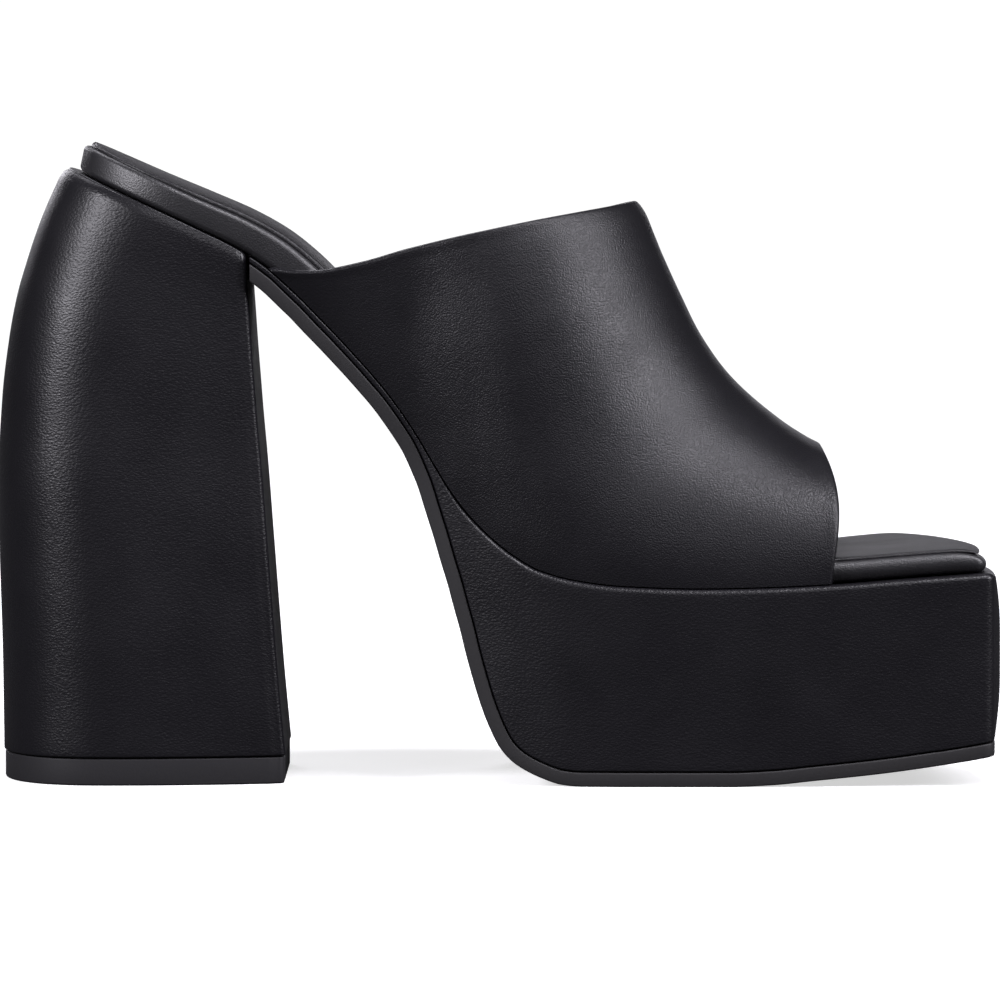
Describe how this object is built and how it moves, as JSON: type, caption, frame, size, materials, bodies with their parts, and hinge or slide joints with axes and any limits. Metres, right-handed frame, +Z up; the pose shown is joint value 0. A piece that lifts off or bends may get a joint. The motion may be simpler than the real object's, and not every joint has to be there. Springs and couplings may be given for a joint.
{
  "type": "platform mule",
  "caption": "Left open-toed platform mule: hollow leather upper on a wrapped footbed board, covered platform and tall curved block heel, with rubber outsole and top piece.",
  "frame": {"origin": "middle of the shoe's footprint box, on the floor", "axes": "+X to the toe, +Y to the outer (little toe) side, +Z up"},
  "size_m": [0.2292, 0.0836, 0.1459],
  "materials": {
    "upper_leather": "black, fine pebble grain, satin",
    "cover_leather": "black, fine pebble grain, satin",
    "board_leather": "black, smooth, satin",
    "sock_leather": "black, soft, satin",
    "sole_rubber": "black, matte, fine tread",
    "heel_rubber": "black, matte"
  },
  "bodies": {
    "root": {"upper": "upper_leather", "platform": "cover_leather", "heel": "cover_leather", "footbed_board": "board_leather", "insole": "sock_leather", "outsole": "sole_rubber", "top_piece": "heel_rubber"}
  },
  "joints": []
}
